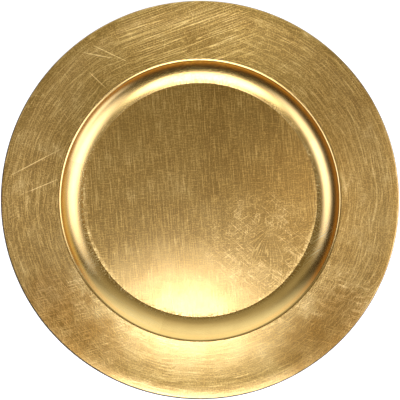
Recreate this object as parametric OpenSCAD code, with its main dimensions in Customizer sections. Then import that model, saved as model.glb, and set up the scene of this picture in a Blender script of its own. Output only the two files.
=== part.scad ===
// Round charger plate with a gilded upper face.
// A thin dished core stands on a glued foot ring. Its upper face has a red-brown ground coat and,
// on that, gold leaf in separate sheets. Its underside has a dark coat, which goes round the lip.
// The layers share one profile, measured down from the gilded face.

/* [Plate] */
// Diameter over the lip
plate_d = 330; // [290:1:420]
// Width of the rim, from the lip in to where it bends down into the wall
rim_w = 47; // [35:0.5:65]
// Width of the wall, from the rim in to the crease at the edge of the flat floor
wall_w = 19; // [15:0.5:30]
// Depth of the well, from the floor to the inner edge of the rim
well_depth = 11; // [8:0.5:20]
// Radius under the bend between the wall and the rim
bend_under_r = 0.3; // [0.2:0.1:2]
// Slope of the wall where it leaves the floor, in degrees
wall_foot_angle = 13; // [6:1:20]
// Slope of the rim at its inner edge, in degrees
rim_inner_angle = 2; // [0:0.5:3]
// Steepest slope of the rim, in degrees
rim_outer_angle = 8; // [5:0.5:12]
// Width of the outer band in which the rim flattens again
roll_w = 9; // [5:0.5:14]
// Slope of the rim at the lip, in degrees
lip_angle = 4; // [1:0.5:4.5]
// Where the leaf ends on the round lip, in degrees up from its middle
leaf_edge_angle = 60; // [40:5:75]

/* [Layers] */
// Thickness of the pressed core
core_t = 2.2; // [1.6:0.1:4]
// Thickness of the red-brown ground coat
bole_t = 0.3; // [0.2:0.05:0.5]
// Thickness of a leaf sheet with its clear lacquer
leaf_t = 0.25; // [0.2:0.05:0.5]
// Thickness of the dark coat on the underside
back_t = 0.3; // [0.2:0.05:0.5]

/* [Foot] */
// Height of the foot under the floor
foot_h = 3; // [2:0.5:8]
// Width of the foot ring
foot_w = 6; // [4:0.5:12]
// Distance from the crease in to the outer side of the foot
foot_inset = 9; // [5:0.5:20]
// Depth of the foot's seat in the core
seat_depth = 0.8; // [0.4:0.1:1.2]
// Glue gap on each side of the foot in its seat
glue_gap = 0.1; // [0.05:0.05:0.3]
// Chamfer on the foot's standing edges
foot_chamfer = 0.6; // [0.2:0.1:1]

/* [Leaf sheets] */
// Sheets that cover the floor
floor_sheets = 4; // [2:1:6]
// Sheets that cover the wall
wall_sheets = 8; // [4:1:12]
// Sheets that cover the rim and the lip
rim_sheets = 8; // [4:1:12]
// Direction of the first seam on the wall and the rim, in degrees
seam_angle = 28; // [0:1:60]

/* [Hidden] */
$fn = 180;
wall_steps = 12;
bend_steps = 8;
rim_steps = 8;
roll_steps = 4;
lip_step_angle = 12;
cut_overrun = 1;

// Depths of the layers, measured down from the gilded face
bole_depth = leaf_t;
core_depth = bole_depth + bole_t;
under_depth = core_depth + core_t;
shell_t = under_depth + back_t;
lip_depth = core_depth + core_t / 2;
lip_r = shell_t - lip_depth;

rim_inner_d = plate_d - 2 * rim_w;
floor_d = rim_inner_d - 2 * wall_w;
floor_r = floor_d / 2;
floor_z = foot_h + shell_t;
foot_outer_r = floor_r - foot_inset;
foot_inner_r = foot_outer_r - foot_w;

// The wall is an arc that meets the bend, another arc, which ends at the inner edge of the rim
bend_r = bend_under_r + shell_t;
rise_to_bend = well_depth - bend_r * cos(rim_inner_angle);
reach_to_bend = rim_inner_d / 2 - floor_r + bend_r * sin(rim_inner_angle);
wall_room = bend_r + rise_to_bend * cos(wall_foot_angle) - reach_to_bend * sin(wall_foot_angle);
wall_r = (pow(reach_to_bend, 2) + pow(rise_to_bend, 2) - pow(bend_r, 2)) / (2 * wall_room);
wall_centre = [
    floor_r - wall_r * sin(wall_foot_angle),
    floor_z + wall_r * cos(wall_foot_angle)
];
bend_centre = [floor_r + reach_to_bend, floor_z + rise_to_bend];
wall_top_angle = atan2(bend_centre[0] - wall_centre[0], wall_centre[1] - bend_centre[1]);

// The rim is a shallow arc that curves up and, in its outer band, one that curves down to the lip
rim_outer_r = plate_d / 2 - lip_r - lip_depth * sin(lip_angle);
roll_inner_r = rim_outer_r - roll_w;
rim_r = (roll_inner_r - rim_inner_d / 2) / (sin(rim_outer_angle) - sin(rim_inner_angle));
rim_centre = [
    rim_inner_d / 2 - rim_r * sin(rim_inner_angle),
    floor_z + well_depth + rim_r * cos(rim_inner_angle)
];
roll_r = roll_w / (sin(rim_outer_angle) - sin(lip_angle));
roll_centre = below(rim_centre, rim_r + roll_r, rim_outer_angle);
lip_centre = above(roll_centre, roll_r - lip_depth, lip_angle);

FLOOR_LEAVES = [for (i = [1:floor_sheets]) str("floor_leaf_", i)];
WALL_LEAVES = [for (i = [1:wall_sheets]) str("wall_leaf_", i)];
RIM_LEAVES = [for (i = [1:rim_sheets]) str("rim_leaf_", i)];

// A point on an arc that curves up, where the slope is a
function below(centre, r, a) = centre + r * [sin(a), -cos(a)];

// A point on an arc that curves down, where the slope is a
function above(centre, r, a) = centre + r * [-sin(a), cos(a)];

// Even steps from one angle to another
function sweep(from, to, steps) = [for (i = [0:steps]) from + (to - from) * i / steps];

function reversed(list) = [for (i = [len(list) - 1:-1:0]) list[i]];

// The floor meets the wall a little further out in each deeper layer
function crease_angle(depth) = acos((wall_r * cos(wall_foot_angle) + depth) / (wall_r + depth));

function crease(depth) = below(wall_centre, wall_r + depth, crease_angle(depth));

function floor_line(depth, from_r) = [[from_r, floor_z - depth], crease(depth)];

function wall_line(depth) = concat(
    [for (a = sweep(crease_angle(depth), wall_top_angle, wall_steps)) below(wall_centre, wall_r + depth, a)],
    [for (a = sweep(wall_top_angle, rim_inner_angle, bend_steps)) if (a < wall_top_angle)
        above(bend_centre, bend_r - depth, a)]
);

function rim_line(depth) = concat(
    [for (a = sweep(rim_inner_angle, rim_outer_angle, rim_steps)) below(rim_centre, rim_r + depth, a)],
    [for (a = sweep(rim_outer_angle, lip_angle, roll_steps)) if (a < rim_outer_angle)
        above(roll_centre, roll_r - depth, a)]
);

// The round lip, from above in the layers over its centre and from below in the others
function lip_line(depth) = let (
    from = depth < lip_depth ? 90 : -90,
    steps = ceil(abs(leaf_edge_angle - from) / lip_step_angle)
) [for (a = sweep(from, leaf_edge_angle, steps)) if (a != from)
    lip_centre + abs(lip_depth - depth) * [cos(a + lip_angle), sin(a + lip_angle)]];

function tail(list) = [for (i = [1:len(list) - 1]) list[i]];

// From a radius on the floor out to the lip, at one depth
function face_line(depth, from_r) = concat(
    floor_line(depth, from_r),
    tail(wall_line(depth)),
    tail(rim_line(depth)),
    lip_line(depth)
);

module turned(outline, sweep_angle = 360) {
    rotate_extrude(angle = sweep_angle) polygon(outline);
}

// One sheet of a ring of sheets
module sheet(outer_line, inner_line, i, count, first_angle) {
    color("#b08d4a")
        rotate([0, 0, first_angle + (i - 1) * 360 / count])
            turned(concat(outer_line, reversed(inner_line)), 360 / count);
}

module plate_core() {
    color("#5a3a22") difference() {
        turned(concat(face_line(core_depth, 0), reversed(face_line(under_depth, 0))));
        foot_seat();
    }
}

// The ring-shaped recess that the foot is glued into
module foot_seat() {
    seat_w = foot_w + 2 * glue_gap;
    translate([0, 0, foot_h + back_t - cut_overrun])
        rotate_extrude()
            translate([foot_inner_r - glue_gap, 0])
                square([seat_w, cut_overrun + seat_depth]);
}

module foot_ring() {
    foot_top = foot_h + back_t + seat_depth;
    color("#241a14") turned([
        [foot_inner_r + foot_chamfer, 0],
        [foot_outer_r - foot_chamfer, 0],
        [foot_outer_r, foot_chamfer],
        [foot_outer_r, foot_top],
        [foot_inner_r, foot_top],
        [foot_inner_r, foot_chamfer]
    ]);
}

module bole_coat() {
    color("#6e2c1a") turned(concat(face_line(bole_depth, 0), reversed(face_line(core_depth, 0))));
}

module underfloor_coat() {
    color("#2c2119")
        translate([0, 0, foot_h])
            cylinder(r = foot_inner_r, h = back_t);
}

module underside_coat() {
    color("#2c2119")
        turned(concat(face_line(under_depth, foot_outer_r), reversed(face_line(shell_t, foot_outer_r))));
}

module floor_leaf(i) {
    sheet(floor_line(0, 0), floor_line(leaf_t, 0), i, floor_sheets, 0);
}

module wall_leaf(i) {
    sheet(wall_line(0), wall_line(leaf_t), i, wall_sheets, seam_angle);
}

module rim_leaf(i) {
    sheet(concat(rim_line(0), lip_line(0)), concat(rim_line(leaf_t), lip_line(leaf_t)), i, rim_sheets, seam_angle);
}

plate_core();
foot_ring();
bole_coat();
underfloor_coat();
underside_coat();
for (i = [1:floor_sheets]) floor_leaf(i);
for (i = [1:wall_sheets]) wall_leaf(i);
for (i = [1:rim_sheets]) rim_leaf(i);
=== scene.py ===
"""Dresses a round charger plate: turned layers, hand-laid gold leaf, studio light and camera."""
import logging
import math
from dataclasses import dataclass, field, replace
from enum import Enum
from typing import Any

import bmesh
import bpy
from mathutils import Matrix, Vector


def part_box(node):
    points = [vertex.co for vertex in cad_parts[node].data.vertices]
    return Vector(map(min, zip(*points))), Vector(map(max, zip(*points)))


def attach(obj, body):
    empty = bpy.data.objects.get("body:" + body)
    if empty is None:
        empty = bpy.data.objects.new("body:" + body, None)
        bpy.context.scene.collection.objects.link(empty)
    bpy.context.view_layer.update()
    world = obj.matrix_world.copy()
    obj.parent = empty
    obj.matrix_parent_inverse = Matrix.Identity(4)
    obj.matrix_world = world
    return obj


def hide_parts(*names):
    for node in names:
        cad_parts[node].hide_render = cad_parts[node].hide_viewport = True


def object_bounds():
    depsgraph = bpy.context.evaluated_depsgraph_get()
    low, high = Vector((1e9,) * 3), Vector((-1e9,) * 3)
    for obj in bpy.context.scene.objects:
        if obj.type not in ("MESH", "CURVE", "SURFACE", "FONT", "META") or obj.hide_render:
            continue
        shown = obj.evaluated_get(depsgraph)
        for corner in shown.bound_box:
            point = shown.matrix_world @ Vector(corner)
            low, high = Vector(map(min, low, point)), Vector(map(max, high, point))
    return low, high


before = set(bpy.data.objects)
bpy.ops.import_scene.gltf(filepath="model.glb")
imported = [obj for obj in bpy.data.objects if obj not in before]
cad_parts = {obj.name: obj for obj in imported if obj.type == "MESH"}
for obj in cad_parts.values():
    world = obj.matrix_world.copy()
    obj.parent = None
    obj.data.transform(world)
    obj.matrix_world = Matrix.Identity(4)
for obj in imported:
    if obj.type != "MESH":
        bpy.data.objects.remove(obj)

CAD_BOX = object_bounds()
BODY = "root"
MM = 0.001
LOG = logging.getLogger("charger_plate")

Point = tuple[float, float]
Line = list[Point]
Triple = tuple[float, float, float]
Colour = Triple
Socket = bpy.types.NodeSocket


class Zone(Enum):
    """The three parts of the gilded face."""

    FLOOR = "floor"
    WALL = "wall"
    RIM = "rim"


class Slot(Enum):
    """The record's material slots."""

    GOLD_LEAF = "gold_leaf"
    BOLE = "bole"
    DARK_COAT = "dark_coat"
    CORE_FIBRE = "core_fibre"
    FOOT_WOOD = "foot_wood"


def even_steps(first: float, last: float, count: int) -> list[float]:
    """Spaces values evenly from first to last.

    Args:
        first: The first value.
        last: The last value.
        count: How many steps lie between them.

    Returns:
        The count + 1 values.
    """
    return [first + (last - first) * i / count for i in range(count + 1)]


def arc_up(centre: Point, radius: float, slopes: list[float]) -> Line:
    """Points on an arc that curves up, where its slope has the given angles.

    Args:
        centre: The arc's centre, over it.
        radius: The arc's radius.
        slopes: Slopes in radians.

    Returns:
        One point for each slope.
    """
    return [(centre[0] + radius * math.sin(a), centre[1] - radius * math.cos(a)) for a in slopes]


def arc_down(centre: Point, radius: float, slopes: list[float]) -> Line:
    """Points on an arc that curves down, where its slope has the given angles.

    Args:
        centre: The arc's centre, under it.
        radius: The arc's radius.
        slopes: Slopes in radians.

    Returns:
        One point for each slope.
    """
    return [(centre[0] - radius * math.sin(a), centre[1] + radius * math.cos(a)) for a in slopes]


@dataclass
class PlateSection:
    """Half section of the plate, as lines of (radius, height) at a depth under the gilded face."""

    plate_r: float
    floor_z: float
    well_depth: float
    leaf_t: float
    bole_t: float
    core_t: float
    back_t: float
    floor_r: float = 99 * MM
    rim_inner_r: float = 118 * MM
    bend_under_r: float = 0.3 * MM
    roll_w: float = 9 * MM
    wall_foot_slope: float = math.radians(13)
    rim_inner_slope: float = math.radians(2)
    rim_outer_slope: float = math.radians(8)
    lip_slope: float = math.radians(4)
    leaf_edge_angle: float = math.radians(60)
    lip_step: float = math.radians(6)
    floor_steps: int = 48
    wall_steps: int = 36
    bend_steps: int = 24
    rim_steps: int = 32
    roll_steps: int = 10

    @classmethod
    def from_frame(cls) -> "PlateSection":
        """Reads the heights and the layers from the CAD nodes' boxes."""
        leaf_low, leaf_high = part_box("floor_leaf_1")
        bole_low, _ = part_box("bole_coat")
        core_low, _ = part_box("plate_core")
        back_low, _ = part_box("underside_coat")
        _, wall_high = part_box("wall_leaf_8")
        return cls(
            plate_r=CAD_BOX[1].x,
            floor_z=leaf_high.z,
            well_depth=wall_high.z - leaf_high.z,
            leaf_t=leaf_high.z - leaf_low.z,
            bole_t=leaf_low.z - bole_low.z,
            core_t=bole_low.z - core_low.z,
            back_t=core_low.z - back_low.z,
        )

    def __post_init__(self) -> None:
        """Works out the arcs' centres and radii."""
        self.core_depth = self.leaf_t + self.bole_t
        self.under_depth = self.core_depth + self.core_t
        self.shell_t = self.under_depth + self.back_t
        self.lip_depth = self.core_depth + self.core_t / 2
        self._set_wall()
        self._set_rim()

    def _set_wall(self) -> None:
        """Works out the wall's arc and the bend that joins it to the rim."""
        self.bend_r = self.bend_under_r + self.shell_t
        rise = self.well_depth - self.bend_r * math.cos(self.rim_inner_slope)
        reach = self.rim_inner_r - self.floor_r + self.bend_r * math.sin(self.rim_inner_slope)
        foot_sin, foot_cos = math.sin(self.wall_foot_slope), math.cos(self.wall_foot_slope)
        room = self.bend_r + rise * foot_cos - reach * foot_sin
        self.wall_r = (reach**2 + rise**2 - self.bend_r**2) / (2 * room)
        self.wall_centre = (self.floor_r - self.wall_r * foot_sin, self.floor_z + self.wall_r * foot_cos)
        self.bend_centre = (self.floor_r + reach, self.floor_z + rise)
        self.wall_top_slope = math.atan2(
            self.bend_centre[0] - self.wall_centre[0], self.wall_centre[1] - self.bend_centre[1]
        )

    def _set_rim(self) -> None:
        """Works out the rim's two arcs and the centre of the round lip."""
        lip_r = self.shell_t - self.lip_depth
        roll_outer_r = self.plate_r - lip_r - self.lip_depth * math.sin(self.lip_slope)
        roll_inner_r = roll_outer_r - self.roll_w
        turn = math.sin(self.rim_outer_slope) - math.sin(self.rim_inner_slope)
        self.rim_r = (roll_inner_r - self.rim_inner_r) / turn
        self.rim_centre = (
            self.rim_inner_r - self.rim_r * math.sin(self.rim_inner_slope),
            self.floor_z + self.well_depth + self.rim_r * math.cos(self.rim_inner_slope),
        )
        self.roll_r = self.roll_w / (math.sin(self.rim_outer_slope) - math.sin(self.lip_slope))
        self.roll_centre = arc_up(self.rim_centre, self.rim_r + self.roll_r, [self.rim_outer_slope])[0]
        self.lip_centre = arc_down(self.roll_centre, self.roll_r - self.lip_depth, [self.lip_slope])[0]

    def crease_slope(self, depth: float) -> float:
        """Slope of the wall where it meets the floor at a depth."""
        return math.acos((self.wall_r * math.cos(self.wall_foot_slope) + depth) / (self.wall_r + depth))

    def floor_line(self, depth: float, from_r: float = 0.0) -> Line:
        """The floor at a depth, from a radius out to the crease.

        Args:
            depth: Depth under the gilded face.
            from_r: Radius at which the line starts.

        Returns:
            The line's points, from the inside out.
        """
        crease_r = arc_up(self.wall_centre, self.wall_r + depth, [self.crease_slope(depth)])[0][0]
        return [(r, self.floor_z - depth) for r in even_steps(from_r, crease_r, self.floor_steps)]

    def wall_line(self, depth: float) -> Line:
        """The wall and its bend at a depth.

        Args:
            depth: Depth under the gilded face.

        Returns:
            The line's points, from the crease to the inner edge of the rim.
        """
        wall_slopes = even_steps(self.crease_slope(depth), self.wall_top_slope, self.wall_steps)
        bend_slopes = even_steps(self.wall_top_slope, self.rim_inner_slope, self.bend_steps)
        wall = arc_up(self.wall_centre, self.wall_r + depth, wall_slopes)
        return wall + arc_down(self.bend_centre, self.bend_r - depth, bend_slopes[1:])

    def rim_line(self, depth: float) -> Line:
        """The rim at a depth.

        Args:
            depth: Depth under the gilded face.

        Returns:
            The line's points, from the rim's inner edge to the lip.
        """
        rim_slopes = even_steps(self.rim_inner_slope, self.rim_outer_slope, self.rim_steps)
        roll_slopes = even_steps(self.rim_outer_slope, self.lip_slope, self.roll_steps)
        rim = arc_up(self.rim_centre, self.rim_r + depth, rim_slopes)
        return rim + arc_down(self.roll_centre, self.roll_r - depth, roll_slopes[1:])

    def lip_line(self, depth: float) -> Line:
        """The round lip at a depth, from above or from below, to the edge of the leaf.

        Args:
            depth: Depth under the gilded face.

        Returns:
            The line's points after the rim's last one.
        """
        start = math.pi / 2 if depth < self.lip_depth else -math.pi / 2
        count = round(abs(self.leaf_edge_angle - start) / self.lip_step)
        radius = abs(self.lip_depth - depth)
        turns = [a + self.lip_slope for a in even_steps(start, self.leaf_edge_angle, count)[1:]]
        centre_r, centre_z = self.lip_centre
        return [(centre_r + radius * math.cos(a), centre_z + radius * math.sin(a)) for a in turns]

    def face_line(self, depth: float, from_r: float = 0.0) -> Line:
        """The whole face at a depth, from a radius on the floor out to the lip.

        Args:
            depth: Depth under the gilded face.
            from_r: Radius at which the line starts.

        Returns:
            The line's points, from the inside out.
        """
        floor = self.floor_line(depth, from_r)
        return floor + self.wall_line(depth)[1:] + self.rim_line(depth)[1:] + self.lip_line(depth)


class NodeGraph:
    """Short calls that add nodes and links to one node tree."""

    def __init__(self, tree: bpy.types.NodeTree) -> None:
        """Keeps the tree to add to."""
        self.tree = tree

    @classmethod
    def of(cls, owner: bpy.types.ID) -> "NodeGraph":
        """Empties the node tree of a material, a light or a world.

        Args:
            owner: What the tree belongs to.

        Returns:
            The tree's helper.
        """
        owner.use_nodes = True
        owner.node_tree.nodes.clear()
        return cls(owner.node_tree)

    def add(self, kind: str, inputs: dict[Any, Any] | None = None, **settings: Any) -> bpy.types.Node:
        """Adds a node.

        Args:
            kind: The node's type.
            inputs: Values or sockets for its inputs, by name or number.
            **settings: The node's own settings.

        Returns:
            The new node.
        """
        node = self.tree.nodes.new(kind)
        for key, value in settings.items():
            setattr(node, key, value)
        for key, value in (inputs or {}).items():
            if isinstance(value, bpy.types.NodeSocket):
                self.tree.links.new(value, node.inputs[key])
            else:
                node.inputs[key].default_value = value
        return node

    def surface(self, kind: str, inputs: dict[Any, Any]) -> None:
        """Ends a material with a shader of a kind."""
        shader = self.add(kind, inputs)
        self.add("ShaderNodeOutputMaterial", {"Surface": shader.outputs[0]})

    def place(self) -> Socket:
        """Reads the place in the piece's own coordinates."""
        return self.add("ShaderNodeTexCoord").outputs["Object"]

    def math(self, operation: str, a: Any, b: Any = 0.0, clamp: bool = False) -> Socket:
        """Adds a Math node and returns its result."""
        return self.add("ShaderNodeMath", {0: a, 1: b}, operation=operation, use_clamp=clamp).outputs[0]

    def vector(self, operation: str, a: Any, b: Any = (0.0, 0.0, 0.0)) -> Socket:
        """Adds a Vector Math node with a vector result and returns it."""
        return self.add("ShaderNodeVectorMath", {0: a, 1: b}, operation=operation).outputs[0]

    def measure(self, operation: str, a: Any, b: Any = (0.0, 0.0, 0.0)) -> Socket:
        """Adds a Vector Math node with a single result and returns it."""
        return self.add("ShaderNodeVectorMath", {0: a, 1: b}, operation=operation).outputs["Value"]

    def length(self, vector: Socket) -> Socket:
        """Measures a vector."""
        return self.measure("LENGTH", vector)

    def flat(self, vector: Socket) -> Socket:
        """Drops a vector's height."""
        return self.vector("MULTIPLY", vector, (1.0, 1.0, 0.0))

    def combine(self, **axes: Any) -> Socket:
        """Joins values along X, Y and Z into a vector."""
        return self.add("ShaderNodeCombineXYZ", axes).outputs[0]

    def total(self, *terms: Any) -> Socket:
        """Adds up several values."""
        result = terms[0]
        for term in terms[1:]:
            result = self.math("ADD", result, term)
        return result

    def swing(self, value: Socket, size: float) -> Socket:
        """Centres a value of about 0.5 on zero and scales it to a size."""
        return self.math("MULTIPLY", self.math("SUBTRACT", value, 0.5), size)

    def ease(self, value: Any, low: float, high: float, to_low: float = 0.0, to_high: float = 1.0) -> Socket:
        """Eases a value from one range to another and holds it beyond the ends.

        Args:
            value: The value to map.
            low: Where the range starts.
            high: Where the range ends.
            to_low: Result at the start.
            to_high: Result at the end.

        Returns:
            The mapped value.
        """
        inputs = {"Value": value, 1: low, 2: high, 3: to_low, 4: to_high}
        return self.add("ShaderNodeMapRange", inputs, interpolation_type="SMOOTHSTEP").outputs[0]

    def fade(self, value: Any, low: float, high: float) -> Socket:
        """Eases from 1 at the low value to 0 at the high one."""
        return self.ease(value, low, high, 1.0, 0.0)

    def noise(self, vector: Any, size: float = 1.0, detail: float = 2.0, rough: float = 0.5) -> Socket:
        """Adds a 3-D noise texture.

        Args:
            vector: Where to read the noise.
            size: Size of its features.
            detail: Octaves.
            rough: Share that each finer octave keeps.

        Returns:
            The noise, about 0.5 on average.
        """
        inputs = {"Vector": vector, "Scale": 1 / size, "Detail": detail, "Roughness": rough}
        return self.add("ShaderNodeTexNoise", inputs).outputs[0]

    def placed(self, vector: Any, size: Triple, turn: float = 0.0, at: Triple = (0.0, 0.0, 0.0)) -> Socket:
        """Turns a vector about Z and divides it by a feature's size.

        Args:
            vector: The vector to place.
            size: The feature's size along each axis.
            turn: Turn about Z, in radians.
            at: Where the feature's own origin lies.

        Returns:
            The placed vector.
        """
        inputs = {"Vector": vector, "Location": at, "Rotation": (0.0, 0.0, turn), "Scale": size}
        return self.add("ShaderNodeMapping", inputs, vector_type="TEXTURE").outputs[0]

    def wrapped(self, vector: Socket, turns: float, out: Socket) -> Socket:
        """Wraps a pattern round the origin.

        Args:
            vector: Flat place, from the origin.
            turns: Features for each radian of turn.
            out: Features from the origin outwards.

        Returns:
            A vector that runs round the origin in X and Y and outwards in Z.
        """
        around = self.vector("MULTIPLY", self.vector("NORMALIZE", vector), (turns, turns, 0.0))
        return self.vector("ADD", around, self.combine(Z=out))

    def bump(self, height: Socket, distance: float, strength: float = 1.0) -> Socket:
        """Adds a Bump node and returns the bent normal."""
        inputs = {"Strength": strength, "Distance": distance, "Height": height}
        return self.add("ShaderNodeBump", inputs).outputs[0]

    def mix(self, factor: Any, a: Any, b: Any) -> Socket:
        """Mixes two colours and returns the result."""
        inputs = {0: factor, 6: self._full(a), 7: self._full(b)}
        return self.add("ShaderNodeMix", inputs, data_type="RGBA").outputs[2]

    def ramp(self, value: Any, stops: tuple[tuple[float, Colour], ...]) -> Socket:
        """Maps a value to colours.

        Args:
            value: The value to map.
            stops: Places and colours, from low to high.

        Returns:
            The colour.
        """
        node = self.add("ShaderNodeValToRGB", {0: value})
        elements = node.color_ramp.elements
        while len(elements) < len(stops):
            elements.new(0.5)
        for element, (place, colour) in zip(elements, stops):
            element.position = place
            element.color = self._full(colour)
        return node.outputs[0]

    @staticmethod
    def _full(colour: Any) -> Any:
        """Adds alpha to a plain colour and passes sockets through."""
        return colour if isinstance(colour, bpy.types.NodeSocket) else (*colour, 1.0)


class Lathe:
    """Geometry Nodes tree that turns a closed outline about the plate's axis."""

    rail_r: float = 100 * MM
    merge_distance: float = 0.002 * MM
    sheet_steps_per_turn: int = 720
    ring_steps: int = 360
    sharp_angle: float = math.radians(32)
    uneven_scale: float = 38.0
    radius_attribute: str = "outline_radius"
    height_attribute: str = "outline_height"
    face_attribute: str = "face"
    along_attribute: str = "along"
    tone_attribute: str = "sheet_tone"

    def __init__(self) -> None:
        """Builds the tree once, for all pieces."""
        self.tree = bpy.data.node_groups.new("turn_outline", "GeometryNodeTree")
        self.sockets: dict[str, str] = {}
        self._add_sockets()
        self._add_nodes()

    def _add_sockets(self) -> None:
        """Adds the tree's named inputs and its output."""
        interface = self.tree.interface
        interface.new_socket("Geometry", in_out="OUTPUT", socket_type="NodeSocketGeometry")
        for name, kind in (
            ("Outline", "NodeSocketGeometry"),
            ("Start Angle", "NodeSocketFloat"),
            ("Sweep Angle", "NodeSocketFloat"),
            ("Ring Points", "NodeSocketInt"),
            ("Rail Radius", "NodeSocketFloat"),
            ("Cap Ends", "NodeSocketBool"),
            ("Merge Distance", "NodeSocketFloat"),
            ("Unevenness", "NodeSocketFloat"),
            ("Uneven Scale", "NodeSocketFloat"),
            ("Sharp Angle", "NodeSocketFloat"),
            ("Sheet Tone", "NodeSocketFloat"),
            ("Finish", "NodeSocketMaterial"),
        ):
            socket = interface.new_socket(name, in_out="INPUT", socket_type=kind)
            self.sockets[name] = socket.identifier

    def _add_nodes(self) -> None:
        """Adds the nodes: turn, merge, dent, shade, label, realize and set the finish."""
        graph = NodeGraph(self.tree)
        given = graph.add("NodeGroupInput").outputs
        outline = graph.add("GeometryNodeMeshToCurve", {"Mesh": given["Outline"]}).outputs["Curve"]
        rail = graph.add(
            "GeometryNodeCurveArc",
            {
                "Resolution": given["Ring Points"],
                "Radius": given["Rail Radius"],
                "Start Angle": given["Start Angle"],
                "Sweep Angle": given["Sweep Angle"],
            },
            mode="RADIUS",
        ).outputs["Curve"]
        along = graph.add("GeometryNodeSplineParameter").outputs["Factor"]
        marked = self._store(graph, rail, self.along_attribute, along)
        strip = graph.add(
            "GeometryNodeCurveToMesh",
            {"Curve": marked, "Profile Curve": outline, "Fill Caps": given["Cap Ends"]},
        ).outputs["Mesh"]
        turned = graph.add(
            "GeometryNodeSetPosition", {"Geometry": strip, "Position": self._turned_place(graph, given)}
        ).outputs[0]
        merged = graph.add(
            "GeometryNodeMergeByDistance", {"Geometry": turned, "Distance": given["Merge Distance"]}
        ).outputs["Geometry"]
        noise = graph.add(
            "ShaderNodeTexNoise", {"Scale": given["Uneven Scale"], "Detail": 1.5, "Roughness": 0.45}
        ).outputs[0]
        on_face = self._stored(graph, self.face_attribute)
        depth = graph.math("MULTIPLY", graph.math("MULTIPLY", noise, given["Unevenness"]), on_face)
        offset = graph.combine(Z=graph.math("MULTIPLY", depth, -1.0))
        dented = graph.add("GeometryNodeSetPosition", {"Geometry": merged, "Offset": offset}).outputs[0]
        smooth = graph.add("GeometryNodeSetShadeSmooth", {"Geometry": dented}, domain="FACE").outputs[0]
        angle = graph.add("GeometryNodeInputMeshEdgeAngle").outputs["Unsigned Angle"]
        sharp = graph.math("GREATER_THAN", angle, given["Sharp Angle"])
        edged = graph.add(
            "GeometryNodeSetShadeSmooth",
            {"Geometry": smooth, "Selection": sharp, "Shade Smooth": False},
            domain="EDGE",
        ).outputs[0]
        toned = self._store(graph, edged, self.tone_attribute, given["Sheet Tone"])
        realized = graph.add("GeometryNodeRealizeInstances", {"Geometry": toned}).outputs[0]
        finished = graph.add(
            "GeometryNodeSetMaterial", {"Geometry": realized, "Material": given["Finish"]}
        ).outputs[0]
        graph.add("NodeGroupOutput", {"Geometry": finished})

    def _turned_place(self, graph: NodeGraph, given: Any) -> Socket:
        """Works out each point's place from its outline point and its angle.

        Args:
            graph: The tree's helper.
            given: The tree's inputs.

        Returns:
            The place.
        """
        radius = self._stored(graph, self.radius_attribute)
        swept = graph.math("MULTIPLY", self._stored(graph, self.along_attribute), given["Sweep Angle"])
        angle = graph.math("ADD", swept, given["Start Angle"])
        return graph.combine(
            X=graph.math("MULTIPLY", radius, graph.math("COSINE", angle)),
            Y=graph.math("MULTIPLY", radius, graph.math("SINE", angle)),
            Z=self._stored(graph, self.height_attribute),
        )

    @staticmethod
    def _stored(graph: NodeGraph, name: str) -> Socket:
        """Reads a named value on the points."""
        node = graph.add("GeometryNodeInputNamedAttribute", {"Name": name}, data_type="FLOAT")
        return node.outputs["Attribute"]

    @staticmethod
    def _store(graph: NodeGraph, geometry: Socket, name: str, value: Socket) -> Socket:
        """Stores a value on the points under a name.

        Args:
            graph: The tree's helper.
            geometry: The geometry that takes the value.
            name: The attribute's name.
            value: The value to store.

        Returns:
            The geometry with the attribute.
        """
        return graph.add(
            "GeometryNodeStoreNamedAttribute",
            {"Geometry": geometry, "Name": name, "Value": value},
            data_type="FLOAT",
            domain="POINT",
        ).outputs["Geometry"]

    def turn(
        self,
        name: str,
        face: Line,
        back: Line,
        finish: bpy.types.Material,
        start: float = 0.0,
        sweep: float = math.tau,
        unevenness: float = 0.0,
        tone: float = 0.0,
    ) -> bpy.types.Object:
        """Turns the outline between two lines about the plate's axis.

        Args:
            name: The piece's name.
            face: The outline's upper line, from the inside out.
            back: The outline's lower line, from the inside out.
            finish: The piece's material.
            start: Angle at which the sweep starts.
            sweep: Angle of the sweep, a full turn unless given.
            unevenness: Deepest dent in the upper line's surface.
            tone: Tone of a leaf sheet against the others.

        Returns:
            The finished mesh object.
        """
        piece = self._outline_object(name, face, back)
        modifier = piece.modifiers.new("turn", "NODES")
        modifier.node_group = self.tree
        full_turn = math.isclose(sweep, math.tau)
        steps = round(self.sheet_steps_per_turn * sweep / math.tau)
        values = {
            "Start Angle": start,
            "Sweep Angle": sweep,
            "Ring Points": (self.ring_steps if full_turn else steps) + 1,
            "Rail Radius": self.rail_r,
            "Cap Ends": not full_turn,
            "Merge Distance": self.merge_distance,
            "Unevenness": unevenness,
            "Uneven Scale": self.uneven_scale,
            "Sharp Angle": self.sharp_angle,
            "Sheet Tone": tone,
            "Finish": finish,
        }
        for key, value in values.items():
            modifier[self.sockets[key]] = value
        return self._as_plain_mesh(piece)

    def _outline_object(self, name: str, face: Line, back: Line) -> bpy.types.Object:
        """Makes the closed outline as a ring of edges, with the face's points marked.

        Args:
            name: The piece's name.
            face: The outline's upper line, from the inside out.
            back: The outline's lower line, from the inside out.

        Returns:
            The object that holds the outline.
        """
        points = face + back[::-1]
        count = len(points)
        mesh = bpy.data.meshes.new(name)
        mesh.from_pydata([(r, z, 0.0) for r, z in points], [(i, (i + 1) % count) for i in range(count)], [])
        rows = {
            self.radius_attribute: [r for r, _ in points],
            self.height_attribute: [z for _, z in points],
            self.face_attribute: [1.0] * len(face) + [0.0] * len(back),
        }
        for attribute, values in rows.items():
            mesh.attributes.new(attribute, "FLOAT", "POINT").data.foreach_set("value", values)
        piece = bpy.data.objects.new(name, mesh)
        bpy.context.collection.objects.link(piece)
        return piece

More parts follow.
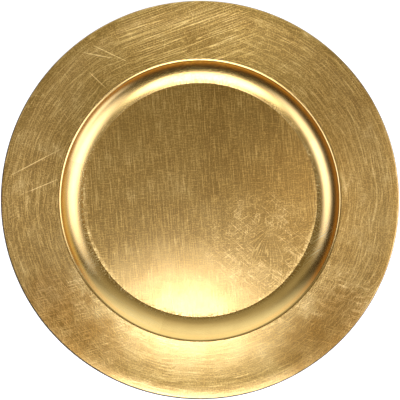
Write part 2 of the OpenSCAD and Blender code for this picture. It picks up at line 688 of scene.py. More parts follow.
    @staticmethod
    def _as_plain_mesh(piece: bpy.types.Object) -> bpy.types.Object:
        """Swaps the outline for the evaluated mesh, with its faces pointing outwards.

        Args:
            piece: The object with the outline and the modifier.

        Returns:
            The same object with a plain mesh and no modifier.
        """
        depsgraph = bpy.context.evaluated_depsgraph_get()
        evaluated = piece.evaluated_get(depsgraph)
        mesh = bpy.data.meshes.new_from_object(
            evaluated, preserve_all_data_layers=True, depsgraph=depsgraph
        )
        outline = piece.data
        piece.modifiers.clear()
        piece.data = mesh
        bpy.data.meshes.remove(outline)
        mesh.name = piece.name
        shape = bmesh.new()
        shape.from_mesh(mesh)
        if shape.calc_volume(signed=True) < 0:
            bmesh.ops.reverse_faces(shape, faces=shape.faces)
        shape.to_mesh(mesh)
        shape.free()
        return piece


@dataclass(frozen=True)
class Patch:
    """A round area of the face with a ragged edge, seen from above."""

    centre: Point
    reach: float
    rag_size: float = 14 * MM

    @classmethod
    def mm(cls, x: float, y: float, reach: float) -> "Patch":
        """Makes a patch from sizes in millimetres."""
        return cls((x * MM, y * MM), reach * MM)

    def cover(self, graph: NodeGraph, flat: Socket) -> Socket:
        """Works out where the patch lies.

        Args:
            graph: The material's helper.
            flat: Place on the plate, seen from above.

        Returns:
            1 inside the patch and 0 outside it.
        """
        away = graph.measure("DISTANCE", flat, (*self.centre, 0.0))
        ragged = graph.swing(graph.noise(flat, self.rag_size, detail=3.0), self.reach)
        return graph.fade(graph.math("ADD", away, ragged), 0.4 * self.reach, self.reach)


@dataclass(frozen=True)
class Ring:
    """A ring on the face, seen from above, that fades inwards and outwards."""

    middle_r: float
    half_w: float

    def cover(self, graph: NodeGraph, flat: Socket) -> Socket:
        """Works out where the ring lies.

        Args:
            graph: The material's helper.
            flat: Place on the plate, seen from above.

        Returns:
            1 in the ring's middle and 0 outside it.
        """
        off = graph.math("ABSOLUTE", graph.math("SUBTRACT", graph.length(flat), self.middle_r))
        return graph.fade(off, 0.2 * self.half_w, self.half_w)


@dataclass(frozen=True)
class Mark:
    """Fine lines that a tool or a brush left in the leaf."""

    weight: float
    width: float = 0.9 * MM
    length: float = 30 * MM
    area: Patch | Ring | None = None
    spared: Patch | None = None
    thinnest: float = 0.46
    fullest: float = 0.74
    hairline: float = 0.0
    depth: float = 0.0

    def draw(self, graph: NodeGraph, flat: Socket) -> Socket:
        """Draws the lines inside the mark's area and outside the spared patch.

        Args:
            graph: The material's helper.
            flat: Place on the plate, seen from above.

        Returns:
            The lines, from 0 to the mark's weight.
        """
        lines = graph.math("MULTIPLY", self._lines(graph, flat), self.weight)
        if self.area is not None:
            lines = graph.math("MULTIPLY", lines, self.area.cover(graph, flat))
        if self.spared is not None:
            clear = graph.math("SUBTRACT", 1.0, self.spared.cover(graph, flat))
            lines = graph.math("MULTIPLY", lines, clear)
        return lines

    def _lines(self, graph: NodeGraph, flat: Socket) -> Socket:
        """Draws the lines without weight or area, as hairlines where their width is set.

        Args:
            graph: The material's helper.
            flat: Place on the plate, seen from above.

        Returns:
            The lines, from 0 to 1.
        """
        noise = graph.noise(self._path(graph, flat), detail=0.4 if self.hairline else 2.0, rough=0.6)
        if not self.hairline:
            return graph.ease(noise, self.thinnest, self.fullest)
        off = graph.math("ABSOLUTE", graph.math("SUBTRACT", noise, 0.5))
        return graph.fade(off, 0.0, self.hairline)

    def _path(self, graph: NodeGraph, flat: Socket) -> Socket:
        """The place in widths across the lines and lengths along them."""
        raise NotImplementedError


@dataclass(frozen=True)
class StraightStrokes(Mark):
    """Parallel strokes in one direction, given in degrees."""

    turn: float = 0.0

    def _path(self, graph: NodeGraph, flat: Socket) -> Socket:
        """The place along and across the strokes."""
        return graph.placed(flat, (self.length, self.width, self.width), math.radians(self.turn))


@dataclass(frozen=True)
class RoundStrokes(Mark):
    """Strokes around the plate, which wander a little in and out."""

    mean_r: float = 140 * MM
    wander: float = 9 * MM
    sway_size: float = 45 * MM

    def _path(self, graph: NodeGraph, flat: Socket) -> Socket:
        """The place around the plate and out from its middle."""
        sway = graph.swing(graph.noise(flat, self.sway_size, detail=1.0), self.wander)
        out = graph.math("DIVIDE", graph.math("ADD", graph.length(flat), sway), self.width)
        return graph.wrapped(flat, self.mean_r / self.length, out)


@dataclass(frozen=True)
class FanStrokes(Mark):
    """Strokes that spread from one point."""

    start: Point = (0.0, 0.0)
    spread_at: float = 20 * MM

    def _path(self, graph: NodeGraph, flat: Socket) -> Socket:
        """The place around the fan's start and out from it."""
        local = graph.vector("SUBTRACT", flat, (*self.start, 0.0))
        out = graph.math("DIVIDE", graph.length(local), self.length)
        return graph.wrapped(local, self.spread_at / self.width, out)


@dataclass(frozen=True)
class Scratch(Mark):
    """One long straight scratch, thinner at its ends."""

    start: Point = (0.0, 0.0)
    end: Point = (0.0, 0.0)

    def _lines(self, graph: NodeGraph, flat: Socket) -> Socket:
        """Draws the scratch.

        Args:
            graph: The material's helper.
            flat: Place on the plate, seen from above.

        Returns:
            The scratch, from 0 to 1.
        """
        (x0, y0), (x1, y1) = self.start, self.end
        size = (math.hypot(x1 - x0, y1 - y0) / 2, self.width, 1.0)
        middle = ((x0 + x1) / 2, (y0 + y1) / 2, 0.0)
        local = graph.placed(flat, size, math.atan2(y1 - y0, x1 - x0), middle)
        return graph.fade(graph.length(local), 0.5, 1.0)


def scratches(weight: float, width: float, *ends: tuple[Point, Point]) -> tuple[Mark, ...]:
    """Single scratches.

    Args:
        weight: How plain the scratches are.
        width: Their width.
        *ends: The two ends of each, in millimetres.

    Returns:
        One mark for each scratch.
    """
    return tuple(
        Scratch(weight, width, start=(x0 * MM, y0 * MM), end=(x1 * MM, y1 * MM))
        for (x0, y0), (x1, y1) in ends
    )


def scribble(
    weight: float, area: Patch | None, turns: tuple[float, ...], spared: Patch | None = None
) -> tuple[Mark, ...]:
    """Short strokes in several directions, as from rubbing the leaf down.

    Args:
        weight: How plain the strokes are.
        area: Where they lie, or None for all over.
        turns: Their directions, in degrees.
        spared: A patch that they leave out.

    Returns:
        One mark for each direction.
    """
    return tuple(
        StraightStrokes(weight, 0.6 * MM, 14 * MM, area, spared, thinnest=0.54, fullest=0.72, turn=turn)
        for turn in turns
    )


@dataclass(frozen=True)
class GoldLeaf:
    """Metal leaf, laid with a brush and burnished, under a thin clear lacquer."""

    zone: Zone
    gloss: float
    marks: tuple[Mark, ...]
    mottle: float
    grain: float
    base_tone: float
    relief: float
    stains: tuple[Patch, ...] = ()
    stain_depth: float = 0.55
    # How much lines and specks lighten the colour: partly the strokes' own tone, partly painted sheen and
    # glints.
    line_tone_and_sheen: float = 0.5
    line_haze: float = 0.42
    haze: float = 0.42
    haze_share: float = 0.27
    haze_stretch: float = 0.0
    haze_tint: Colour = (1.0, 0.96, 0.76)
    cloud_size: float = 24 * MM
    cloud_rough: float = 0.05
    grain_size: float = 1.1 * MM
    fleck_size: float = 1.6 * MM
    fleck_area_size: float = 40 * MM
    fleck_rough: float = 0.25
    # A dark ring at the lip's very edge, wider towards the lower left, set by the next fields.
    dark_edge_from_r: float = 0.0
    dark_edge_lean: Triple = (0.0016, 0.0026, 0.0)
    dark_edge_rag_size: float = 9 * MM
    dark_edge_rag_depth: float = 0.5 * MM
    dark_edge_blend: float = 0.3 * MM
    dark: Colour = (0.42, 0.25, 0.06)
    middle: Colour = (0.82, 0.59, 0.21)
    pale: Colour = (1.0, 0.84, 0.43)
    stain: Colour = (0.46, 0.25, 0.045)
    bole: Colour = (0.34, 0.14, 0.06)
    dark_edge_colour: Colour = (0.03, 0.02, 0.012)

    def make(self) -> bpy.types.Material:
        """Builds the material: burnished metal, and more haze where lines cut its shine.

        Returns:
            The leaf's material for this zone.
        """
        material = bpy.data.materials.new(f"gold_leaf_{self.zone.value}")
        graph = NodeGraph.of(material)
        flat = graph.flat(graph.place())
        drawn = [mark.draw(graph, flat) for mark in self.marks]
        lines = graph.total(self._grain(graph, flat), *drawn)
        cuts = [graph.math("MULTIPLY", d, m.depth) for d, m in zip(drawn, self.marks) if m.depth]
        cloud = graph.noise(flat, self.cloud_size, detail=5.0, rough=0.66)
        colour = self._colour(graph, flat, lines, cloud)
        flecks = self._flecks(graph, flat)
        dulled = graph.ease(cloud, 0.5, 0.75, 0.0, self.cloud_rough)
        bared = graph.math("MULTIPLY", flecks, self.fleck_rough)
        bump = graph.bump(graph.total(lines, *cuts), self.relief)
        metal = graph.add(
            "ShaderNodeBsdfPrincipled",
            {
                "Base Color": graph.mix(flecks, colour, self.bole),
                "Metallic": 1.0,
                "Roughness": graph.total(self.gloss, dulled, bared),
                "Normal": bump,
            },
        )
        scattered = graph.vector("MULTIPLY", colour, self.haze_tint)
        spread = {"Color": scattered, "Roughness": self.haze, "Normal": bump}
        if self.haze_stretch:
            spread |= {"Anisotropy": -self.haze_stretch, "Tangent": self._across(graph, flat)}
        haze = graph.add("ShaderNodeBsdfGlossy", spread)
        share = graph.math("MAXIMUM", graph.math("MULTIPLY", lines, self.line_haze), 0.0)
        share = graph.math("ADD", share, self.haze_share, clamp=True)
        graph.surface("ShaderNodeMixShader", {0: share, 1: metal.outputs[0], 2: haze.outputs[0]})
        return material

    def _colour(self, graph: NodeGraph, flat: Socket, lines: Socket, cloud: Socket) -> Socket:
        """The leaf's colour, from dark through middle to pale.

        Args:
            graph: The material's helper.
            flat: Place on the plate, seen from above.
            lines: The lines in the leaf.
            cloud: A slow noise.

        Returns:
            The colour.
        """
        sheet = graph.add("ShaderNodeAttribute", attribute_name=Lathe.tone_attribute).outputs["Fac"]
        # Lines and specks lighten the colour: partly the strokes' own tone, partly painted sheen where rough
        # strokes catch scattered light.
        stroke_tone_and_sheen = graph.math("MULTIPLY", lines, self.line_tone_and_sheen)
        tone = graph.total(self.base_tone, stroke_tone_and_sheen, graph.swing(cloud, self.mottle), sheet)
        colour = graph.ramp(tone, ((0.0, self.dark), (0.5, self.middle), (1.0, self.pale)))
        for patch in self.stains:
            browned = graph.math("MULTIPLY", patch.cover(graph, flat), self.stain_depth)
            colour = graph.mix(browned, colour, self.stain)
        # Darkens the lip's very edge, more towards the lower left.
        if self.dark_edge_from_r:
            colour = graph.mix(self._dark_edge(graph, flat), colour, self.dark_edge_colour)
        return colour

    def _dark_edge(self, graph: NodeGraph, flat: Socket) -> Socket:
        """Where the lip's very edge turns dark, wider towards the lower left.

        Args:
            graph: The material's helper.
            flat: Place on the plate, seen from above.

        Returns:
            1 on the dark edge and 0 elsewhere.
        """
        lean = graph.measure("DOT_PRODUCT", flat, self.dark_edge_lean)
        ragged = graph.math("MULTIPLY", graph.noise(flat, self.dark_edge_rag_size, detail=4.0), self.dark_edge_rag_depth)
        edge = graph.total(graph.length(flat), ragged, graph.math("MULTIPLY", lean, -1.0))
        return graph.ease(edge, self.dark_edge_from_r, self.dark_edge_from_r + self.dark_edge_blend)

    def _across(self, graph: NodeGraph, flat: Socket) -> Socket:
        """Direction across the brush strokes: sideways on the floor, outwards elsewhere."""
        return graph.combine(X=1.0) if self.zone is Zone.FLOOR else graph.vector("NORMALIZE", flat)

    def _grain(self, graph: NodeGraph, flat: Socket) -> Socket:
        """Fine specks in the leaf, centred on zero; where they lighten the colour they are partly painted
        glints.
        """
        specks = graph.ease(graph.noise(flat, self.grain_size, detail=1.0), 0.32, 0.68)
        return graph.swing(specks, self.grain)

    def _flecks(self, graph: NodeGraph, flat: Socket) -> Socket:
        """Small worn spots where the red-brown ground shows.

        Args:
            graph: The material's helper.
            flat: Place on the plate, seen from above.

        Returns:
            The spots, from 0 to 1.
        """
        spots = graph.ease(graph.noise(flat, self.fleck_size), 0.72, 0.80)
        areas = graph.ease(graph.noise(flat, self.fleck_area_size), 0.5, 0.62)
        return graph.math("MULTIPLY", spots, areas)


@dataclass(frozen=True)
class PlainFinish:
    """A finish of one shader, on Object coordinates."""

    name: str

    def make(self) -> bpy.types.Material:
        """Builds the material.

        Returns:
            The material.
        """
        material = bpy.data.materials.new(self.name)
        graph = NodeGraph.of(material)
        graph.surface("ShaderNodeBsdfPrincipled", self._inputs(graph, graph.place()))
        return material

    def _inputs(self, graph: NodeGraph, place: Socket) -> dict[str, Any]:
        """The shader's inputs."""
        raise NotImplementedError


@dataclass(frozen=True)
class DarkLacquer(PlainFinish):
    """Dark brown brushed lacquer of the underside."""

    name: str = "dark_lacquer"
    colour: Colour = (0.016, 0.011, 0.007)
    worn: Colour = (0.06, 0.044, 0.027)
    roughness: float = 0.5
    rough_swing: float = 0.3
    shine: float = 0.2
    stroke_w: float = 1.1 * MM
    stroke_drift: Triple = (9.0, 9.0, 9.0)
    cloud_size: float = 30 * MM
    relief: float = 0.03 * MM

    def _inputs(self, graph: NodeGraph, place: Socket) -> dict[str, Any]:
        """Brushes the lacquer round the plate and rubs it pale in clouds.

        Args:
            graph: The material's helper.
            place: Place on the piece.

        Returns:
            The shader's inputs.
        """
        rings = graph.combine(X=graph.math("DIVIDE", graph.length(graph.flat(place)), self.stroke_w))
        drift = graph.vector("MULTIPLY", place, self.stroke_drift)
        brush = graph.noise(graph.vector("ADD", rings, drift), detail=3.0)
        cloud = graph.noise(place, self.cloud_size, detail=4.0, rough=0.6)
        rubbed = graph.ease(graph.math("ADD", cloud, graph.math("MULTIPLY", brush, 0.4)), 0.55, 0.95)
        return {
            "Base Color": graph.mix(rubbed, self.colour, self.worn),
            "Specular IOR Level": self.shine,
            "Roughness": graph.total(self.roughness, graph.swing(cloud, self.rough_swing)),
            "Normal": graph.bump(brush, self.relief, 0.5),
        }


@dataclass(frozen=True)
class Bole(PlainFinish):
    """Red-brown clay ground under the leaf."""

    name: str = "red_bole"
    colour: Colour = (0.23, 0.055, 0.025)
    dry: Colour = (0.34, 0.11, 0.06)
    cloud_size: float = 9 * MM

    def _inputs(self, graph: NodeGraph, place: Socket) -> dict[str, Any]:
        """Dries the ground in clouds.

        Args:
            graph: The material's helper.
            place: Place on the piece.

        Returns:
            The shader's inputs.
        """
        cloud = graph.noise(place, self.cloud_size, detail=5.0, rough=0.6)
        return {
            "Base Color": graph.mix(graph.ease(cloud, 0.35, 0.7), self.colour, self.dry),
            "Roughness": graph.ease(cloud, 0.3, 0.7, 0.45, 0.62),
        }


@dataclass(frozen=True)
class PressedFibre(PlainFinish):
    """Pressed wood fibre of the core."""

    name: str = "pressed_fibre"
    colour: Colour = (0.16, 0.085, 0.042)
    fibre: Colour = (0.33, 0.21, 0.115)
    thread_size: Triple = (0.5 * MM, 6 * MM, 0.5 * MM)
    thread_turns: tuple[float, ...] = (20, 75, 140)
    relief: float = 0.05 * MM

    def _inputs(self, graph: NodeGraph, place: Socket) -> dict[str, Any]:
        """Lays threads in several directions.

        Args:
            graph: The material's helper.
            place: Place on the piece.

        Returns:
            The shader's inputs.
        """
        threads: Any = 0.0
        for turn in self.thread_turns:
            path = graph.placed(place, self.thread_size, math.radians(turn))
            threads = graph.math("MAXIMUM", threads, graph.ease(graph.noise(path), 0.5, 0.75))
        return {
            "Base Color": graph.mix(threads, self.colour, self.fibre),
            "Roughness": graph.ease(threads, 0.0, 1.0, 0.6, 0.8),
            "Normal": graph.bump(threads, self.relief, 0.6),
        }


@dataclass(frozen=True)
class StainedWood(PlainFinish):
    """Dark stained and waxed wood of the foot ring."""

    name: str = "stained_wood"
    colour: Colour = (0.022, 0.013, 0.008)
    pore: Colour = (0.085, 0.050, 0.028)
    grain_size: Triple = (0.9 * MM, 18 * MM, 0.9 * MM)
    grain_turn: float = math.radians(24)
    relief: float = 0.05 * MM

    def _inputs(self, graph: NodeGraph, place: Socket) -> dict[str, Any]:
        """Runs the grain one way through the ring.

        Args:
            graph: The material's helper.
            place: Place on the piece.

        Returns:
            The shader's inputs.
        """
        grain = graph.noise(graph.placed(place, self.grain_size, self.grain_turn), detail=4.0, rough=0.6)
        return {
            "Base Color": graph.mix(graph.ease(grain, 0.42, 0.68), self.colour, self.pore),
            "Roughness": graph.ease(grain, 0.4, 0.7, 0.38, 0.58),
            "Normal": graph.bump(grain, self.relief, 0.5),
        }


@dataclass
class Piece:
    """A finished mesh and the CAD node that it stands for."""

    shape: bpy.types.Object
    node: str
    slot: Slot

    def mount(self) -> None:
        """Ties the piece to the frame and reports it."""
        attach(self.shape, BODY)
        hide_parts(self.node)
        LOG.info("%s stands for %s", self.shape.name, self.node)


@dataclass
class Gilding:
    """The sheets of leaf on the floor, the wall and the rim."""

    section: PlateSection
    lathe: Lathe
    floor_sheets: int = 4
    ring_sheets: int = 8
    seam_angle: float = math.radians(28)
    unevenness: float = 0.06 * MM
    tone_swing: float = 0.05
    tone_step: float = 2.4
    # Width of the dark ring at the lip's very edge.
    dark_edge_w: float = 0.85 * MM
    pieces: list[Piece] = field(default_factory=list)

    def build(self) -> None:
        """Lays all the sheets."""
        top, under = 0.0, self.section.leaf_t
        finishes = self.dress()
        lines = {
            Zone.FLOOR: (self.section.floor_line(top), self.section.floor_line(under)),
            Zone.WALL: (self.section.wall_line(top), self.section.wall_line(under)),
            Zone.RIM: (
                self.section.rim_line(top) + self.section.lip_line(top),
                self.section.rim_line(under) + self.section.lip_line(under),
            ),
        }
        for zone, (face, back) in lines.items():
            on_floor = zone is Zone.FLOOR
            count = self.floor_sheets if on_floor else self.ring_sheets
            first = 0.0 if on_floor else self.seam_angle
            sweep = math.tau / count
            for i in range(count):
                shape = self.lathe.turn(
                    f"gilt_{zone.value}_{i + 1}",
                    face,
                    back,
                    finishes[zone],
                    start=first + i * sweep,
                    sweep=sweep,
                    unevenness=self.unevenness,
                    tone=self.tone_swing * math.sin(self.tone_step * i + len(zone.value)),
                )
                self.pieces.append(Piece(shape, f"{zone.value}_leaf_{i + 1}", Slot.GOLD_LEAF))

    def dress(self) -> dict[Zone, bpy.types.Material]:
        """Makes the leaf's finish for each zone.

        Returns:
            One material for each zone.
        """
        hatching = RoundStrokes(
            0.6,
            2.4 * MM,
            1.1 * MM,
            Ring(99.5 * MM, 4.5 * MM),
            Patch.mm(0, 70, 120),
            thinnest=0.48,
            fullest=0.7,
            depth=5.0,
            mean_r=99 * MM,
            wander=6 * MM,
        )
        finishes = (self._floor_finish(hatching), self._wall_finish(hatching), self._rim_finish())
        return {finish.zone: finish.make() for finish in finishes}

    @staticmethod
    def _floor_finish(hatching: Mark) -> GoldLeaf:
        """Brushes the floor one way, with a rubbed area and a fan at the lower right.

        Args:
            hatching: The strokes along the crease.

        Returns:
            The floor's finish.
        """
        rubbed = Patch.mm(54, -38, 62)
        fanned = Patch.mm(57, -41, 20)
        return GoldLeaf(
            zone=Zone.FLOOR,
            gloss=0.15,
            marks=(
                StraightStrokes(0.45, length=24 * MM, turn=95, spared=rubbed),
                StraightStrokes(0.25, 2.6 * MM, 40 * MM, turn=93, hairline=0.05, spared=rubbed),
                StraightStrokes(0.35, 0.8 * MM, 9 * MM, turn=4),
                FanStrokes(0.6, 2.8 * MM, 40 * MM, fanned, hairline=0.045, start=(60 * MM, -24 * MM)),
                *scribble(0.75, rubbed, (35, 80, 140), fanned),
                hatching,
            ),
            mottle=0.5,
            grain=0.3,
            base_tone=0.32,
            relief=0.02 * MM,
            haze_stretch=0.6,
        )

    @staticmethod
    def _wall_finish(hatching: Mark) -> GoldLeaf:
        """Burnishes the wall, with rubbed areas at the lower left and right.

        Args:
            hatching: The strokes along the crease.

        Returns:
            The wall's finish.
        """
        ribbed = Patch.mm(4, 109, 48)
        return GoldLeaf(
            zone=Zone.WALL,
            gloss=0.16,
            marks=(
                RoundStrokes(0.2, 1.2 * MM, 26 * MM, mean_r=108 * MM),
                RoundStrokes(0.14, 3 * MM, 0.9 * MM, ribbed, depth=36.0, mean_r=109 * MM),
                *scribble(0.5, Patch.mm(-93, -49, 26), (25, 75, 150)),
                *scribble(0.5, Patch.mm(98, -38, 26), (40, 95, 150)),
                *scratches(0.8, 0.5 * MM, ((92, -38), (110, -25)), ((88, -51), (104, -39))),
                hatching,
            ),
            mottle=0.25,
            grain=0.06,
            base_tone=0.46,
            relief=0.012 * MM,
            haze=0.3,
            haze_tint=(0.6, 0.58, 0.46),
        )

    def _rim_finish(self) -> GoldLeaf:
        """Brushes the rim round the plate, combs it at the top and clouds it at the bottom.

        Returns:
            The rim's finish.
        """
        combed = Patch.mm(-14, 147, 76)
        clouds = ((-124, -84), (-108, -106), (-86, -126), (92, -124), (116, -100))
        return GoldLeaf(
            zone=Zone.RIM,
            gloss=0.16,
            marks=(
                RoundStrokes(0.45, length=18 * MM, spared=combed, wander=6 * MM),
                RoundStrokes(0.35, 2.4 * MM, 40 * MM, hairline=0.05, spared=combed, wander=6 * MM),
                StraightStrokes(0.5, 0.6 * MM, 50 * MM, combed, thinnest=0.5, turn=21),
                StraightStrokes(0.85, 1.9 * MM, 80 * MM, combed, hairline=0.05, turn=20),
                *scribble(0.35, None, (35, 80, 125, 170)),
                StraightStrokes(0.4, 0.9 * MM, 20 * MM, Patch.mm(-142, 4, 50), turn=78),
                *scribble(1.4, Patch.mm(-98, -104, 60), (100, 130, 15)),
                *scribble(0.9, Patch.mm(104, -98, 60), (40, 75, 165)),
                *scratches(
                    0.9,
                    0.45 * MM,
                    ((-161, 18), (-111, 45)),
                    ((-147, 5), (-114, 19)),
                    ((-93, 130), (-56, 113)),
                    ((-102, 123), (-68, 117)),
                    ((-95, 109), (-76, 91)),
                ),
            ),
            mottle=0.7,
            grain=0.32,
            base_tone=0.33,
            relief=0.02 * MM,
            stains=tuple(Patch.mm(x, y, 36) for x, y in clouds),
            haze_stretch=0.6,
            # Dark ring at the lip's very edge, wider towards the lower left.
            dark_edge_from_r=self.section.plate_r - self.dark_edge_w,
        )


@dataclass
class Shell:
    """The pressed core with its ground coat and the dark coats of its underside."""

    section: PlateSection
    lathe: Lathe
    glue_gap: float = 0.1 * MM
    floor_steps: int = 1
    pieces: list[Piece] = field(default_factory=list)

    def build(self) -> None:
        """Turns the core and the three coats."""
        section = replace(self.section, floor_steps=self.floor_steps)
        foot_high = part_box("foot_ring")[1]
        low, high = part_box("underfloor_coat")
        inner_r, outer_r = high.x, foot_high.x
        lacquer, bole, fibre = self.dress()
        bole_face = section.face_line(section.leaf_t)
        core_face = section.face_line(section.core_depth)
        core_back = self._seated(section.face_line(section.under_depth), inner_r, outer_r, foot_high.z)
        back_face = section.face_line(section.under_depth, outer_r)
        back_under = section.face_line(section.shell_t, outer_r)
        rows = (
            ("ground_coat", bole_face, core_face, bole, "bole_coat", Slot.BOLE),
            ("pressed_core", core_face, core_back, fibre, "plate_core", Slot.CORE_FIBRE),
            ("back_lacquer", back_face, back_under, lacquer, "underside_coat", Slot.DARK_COAT),
            (
                "underfloor_lacquer",
                [(0.0, high.z), (inner_r, high.z)],
                [(0.0, low.z), (inner_r, low.z)],
                lacquer,
                "underfloor_coat",
                Slot.DARK_COAT,
            ),
        )
        for name, face, back, finish, node, slot in rows:
            self.pieces.append(Piece(self.lathe.turn(name, face, back, finish), node, slot))

    def _seated(self, line: Line, inner_r: float, outer_r: float, seat_z: float) -> Line:
        """Cuts the foot's seat into the core's lower line.

        Args:
            line: The core's lower line.
            inner_r: The foot's inner radius.
            outer_r: The foot's outer radius.
            seat_z: Height of the seat's bottom.

        Returns:
            The line with the seat.
        """
        under_z = line[0][1]
        seat_in, seat_out = inner_r - self.glue_gap, outer_r + self.glue_gap
        seat = [(seat_in, under_z), (seat_in, seat_z), (seat_out, seat_z), (seat_out, under_z)]
        return [p for p in line if p[0] < seat_in] + seat + [p for p in line if p[0] > seat_out]

    def dress(self) -> tuple[bpy.types.Material, bpy.types.Material, bpy.types.Material]:
        """Makes the finishes of the dark coats, the ground coat and the core."""
        return DarkLacquer().make(), Bole().make(), PressedFibre().make()


@dataclass
class Foot:
    """The wooden ring that the plate stands on."""

    lathe: Lathe
    edge_r: float = 0.6 * MM
    edge_steps: int = 6
    pieces: list[Piece] = field(default_factory=list)

    def build(self) -> None:
        """Turns the ring, with its standing edges rounded."""
        low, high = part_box("foot_ring")
        inner_r, outer_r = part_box("underfloor_coat")[1].x, high.x
        turns = even_steps(0.0, math.pi / 2, self.edge_steps)
        edge_z = low.z + self.edge_r
        inner = [
            (inner_r + self.edge_r * (1 - math.cos(a)), edge_z - self.edge_r * math.sin(a)) for a in turns
        ]
        outer = [(inner_r + outer_r - r, z) for r, z in inner[::-1]]
        face = [(inner_r, high.z), (outer_r, high.z)]
        shape = self.lathe.turn("turned_foot", face, inner + outer, self.dress())
        self.pieces.append(Piece(shape, "foot_ring", Slot.FOOT_WOOD))

    def dress(self) -> bpy.types.Material:
        """Makes the foot's finish."""
        return StainedWood().make()


@dataclass(frozen=True)
class Softbox:
    """An oval studio light that fades to its edge, placed by direction and by the angle that it fills."""

    name: str
    azimuth: float
    polar: float
    width: float
    height: float
    radiance: float
    core: float = 0.3
    distance: float = 1.6
    tint: Colour = (1.0, 1.0, 1.0)

    def place(self, aim: Vector) -> None:
        """Adds the light, facing the plate.

        Args:
            aim: The point that the light faces.
        """
        azimuth, polar = math.radians(self.azimuth), math.radians(self.polar)
        away = Vector(
            (math.sin(polar) * math.cos(azimuth), math.sin(polar) * math.sin(azimuth), math.cos(polar))
        )
        side = Vector((-math.sin(azimuth), math.cos(azimuth), 0.0))
        light = bpy.data.lights.new(self.name, "AREA")
        light.shape = "ELLIPSE"
        light.size = 2 * self.distance * math.tan(math.radians(self.width) / 2)
        light.size_y = 2 * self.distance * math.tan(math.radians(self.height) / 2)
        light.energy = self.radiance * math.pi * math.pi / 4 * light.size * light.size_y
        self._fade(light)
        lamp = bpy.data.objects.new(self.name, light)
        turn = Matrix((side, away.cross(side), away)).transposed()
        lamp.matrix_world = Matrix.Translation(aim + away * self.distance) @ turn.to_4x4()
        bpy.context.collection.objects.link(lamp)

    def _fade(self, light: bpy.types.Light) -> None:
        """Lets the light fade from its core to its edge.

        Args:
            light: The light's data.
        """
        graph = NodeGraph.of(light)
        spot = graph.add("ShaderNodeNewGeometry").outputs["Parametric"]
        centred = graph.vector("SUBTRACT", spot, (0.5, 0.5, 0.0))
        away = graph.math("MULTIPLY", graph.length(graph.flat(centred)), 2.0)
        strength = graph.fade(away, self.core, 1.0)
        glow = graph.add("ShaderNodeEmission", {"Color": (*self.tint, 1.0), "Strength": strength})
        graph.add("ShaderNodeOutputLight", {"Surface": glow.outputs[0]})


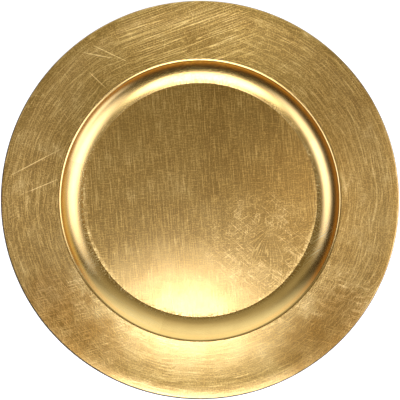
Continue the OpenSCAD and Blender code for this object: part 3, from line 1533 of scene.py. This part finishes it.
@dataclass
class Studio:
    """Camera straight over the plate, softboxes, a dim warm room and a white table."""

    section: PlateSection
    camera_height: float = 0.65
    sensor: float = 36.0
    half_frame_px: float = 200.0
    plate_px: float = 199.7
    table_half: float = 40.0
    table_grey: float = 0.6
    table_glow: float = 0.8
    room: tuple[tuple[float, Colour], ...] = (
        (0.0, (0.44, 0.21, 0.05)),
        (0.16, (0.38, 0.175, 0.04)),
        (0.3, (0.03, 0.018, 0.005)),
        (0.48, (0.04, 0.028, 0.01)),
        (0.7, (0.158, 0.115, 0.038)),
    )
    softboxes: tuple[Softbox, ...] = (
        Softbox("front_box", 268, 34, 50, 37, 5.3, core=0.5, tint=(1.0, 1.0, 1.15)),
        Softbox("left_box", 199, 45, 78, 38, 2.8, core=0.15, tint=(1.0, 1.0, 1.35)),
        Softbox("right_box", 347, 46, 76, 52, 3.7, core=0.1, tint=(1.0, 1.0, 1.35)),
        Softbox("corner_box", 326, 69, 56, 21, 2.2, core=0.2, tint=(1.0, 1.0, 1.3)),
        Softbox("side_box", 10, 74, 64, 22, 0.8, tint=(1.0, 0.85, 0.5)),
        Softbox("back_box", 88, 77, 122, 94, 1.36, core=0.22, tint=(0.96, 1.0, 1.12)),
        Softbox("top_box", 265, 13, 18, 18, 6.6, core=0.15, distance=2.4, tint=(0.96, 0.96, 1.3)),
        Softbox("fill_box", 0, 13, 18, 22, 0.38, distance=2.4, tint=(1.0, 0.72, 0.5)),
        Softbox("glow_box", 96, 32, 100, 36, 0.3, distance=2.4),
        Softbox("low_box", 262, 84.5, 116, 9, 0.3, core=0.5, tint=(1.0, 0.66, 0.28)),
    )

    def build(self) -> None:
        """Sets up the camera, the light, the room and the table."""
        lip_z = CAD_BOX[1].z
        self._place_camera(lip_z)
        aim = Vector((0.0, 0.0, self.section.floor_z))
        for box in self.softboxes:
            box.place(aim)
        self._paint_room()
        self._lay_table()
        bpy.context.scene.view_settings.view_transform = "Standard"

    def _place_camera(self, lip_z: float) -> None:
        """Adds the camera over the plate's middle, with +Y up in the picture.

        Args:
            lip_z: Height of the lip, where the plate is widest.
        """
        data = bpy.data.cameras.new("overhead_camera")
        data.sensor_width = self.sensor
        half_width = self.section.plate_r * self.half_frame_px / self.plate_px
        data.lens = self.sensor / 2 * self.camera_height / half_width
        camera = bpy.data.objects.new("overhead_camera", data)
        camera.location = (0.0, 0.0, lip_z + self.camera_height)
        bpy.context.collection.objects.link(camera)
        bpy.context.scene.camera = camera

    def _paint_room(self) -> None:
        """Makes the room dim and warm, dark at half height and brown near the horizon."""
        world = bpy.data.worlds.new("studio_room")
        graph = NodeGraph.of(world)
        way = graph.add("ShaderNodeTexCoord").outputs["Generated"]
        height = graph.add("ShaderNodeSeparateXYZ", {0: way}).outputs["Z"]
        colour = graph.ramp(height, self.room)
        paint = graph.add("ShaderNodeBackground", {"Color": colour, "Strength": 1.0})
        graph.add("ShaderNodeOutputWorld", {"Surface": paint.outputs[0]})
        bpy.context.scene.world = world

    def _lay_table(self) -> None:
        """Adds the white table under the plate."""
        half = self.table_half
        mesh = bpy.data.meshes.new("table_top")
        corners = [(-half, -half, 0.0), (half, -half, 0.0), (half, half, 0.0), (-half, half, 0.0)]
        mesh.from_pydata(corners, [], [(0, 1, 2, 3)])
        table = bpy.data.objects.new("table_top", mesh)
        bpy.context.collection.objects.link(table)
        mesh.materials.append(self._table_finish())

    def _table_finish(self) -> bpy.types.Material:
        """Makes the table's white, which still takes the plate's shadow.

        Returns:
            The table's material.
        """
        material = bpy.data.materials.new("white_table")
        graph = NodeGraph.of(material)
        path = graph.add("ShaderNodeLightPath").outputs
        seen = graph.math("MAXIMUM", path["Is Camera Ray"], path["Is Glossy Ray"])
        seen = graph.math("MAXIMUM", seen, path["Is Transmission Ray"])
        grey = (self.table_grey, self.table_grey, self.table_grey, 1.0)
        paper = graph.add("ShaderNodeBsdfDiffuse", {"Color": grey})
        strength = graph.math("MULTIPLY", seen, self.table_glow)
        glow = graph.add("ShaderNodeEmission", {"Color": (1.0, 1.0, 1.0, 1.0), "Strength": strength})
        graph.surface("ShaderNodeAddShader", {0: paper.outputs[0], 1: glow.outputs[0]})
        return material


def main() -> None:
    """Builds the plate's sub-assemblies and the studio, and ties the pieces to the frame."""
    logging.basicConfig(level=logging.INFO, format="%(message)s")
    section = PlateSection.from_frame()
    lathe = Lathe()
    for part in (Gilding(section, lathe), Shell(section, lathe), Foot(lathe)):
        part.build()
        for piece in part.pieces:
            piece.mount()
    Studio(section).build()


if __name__ == "__main__":
    main()
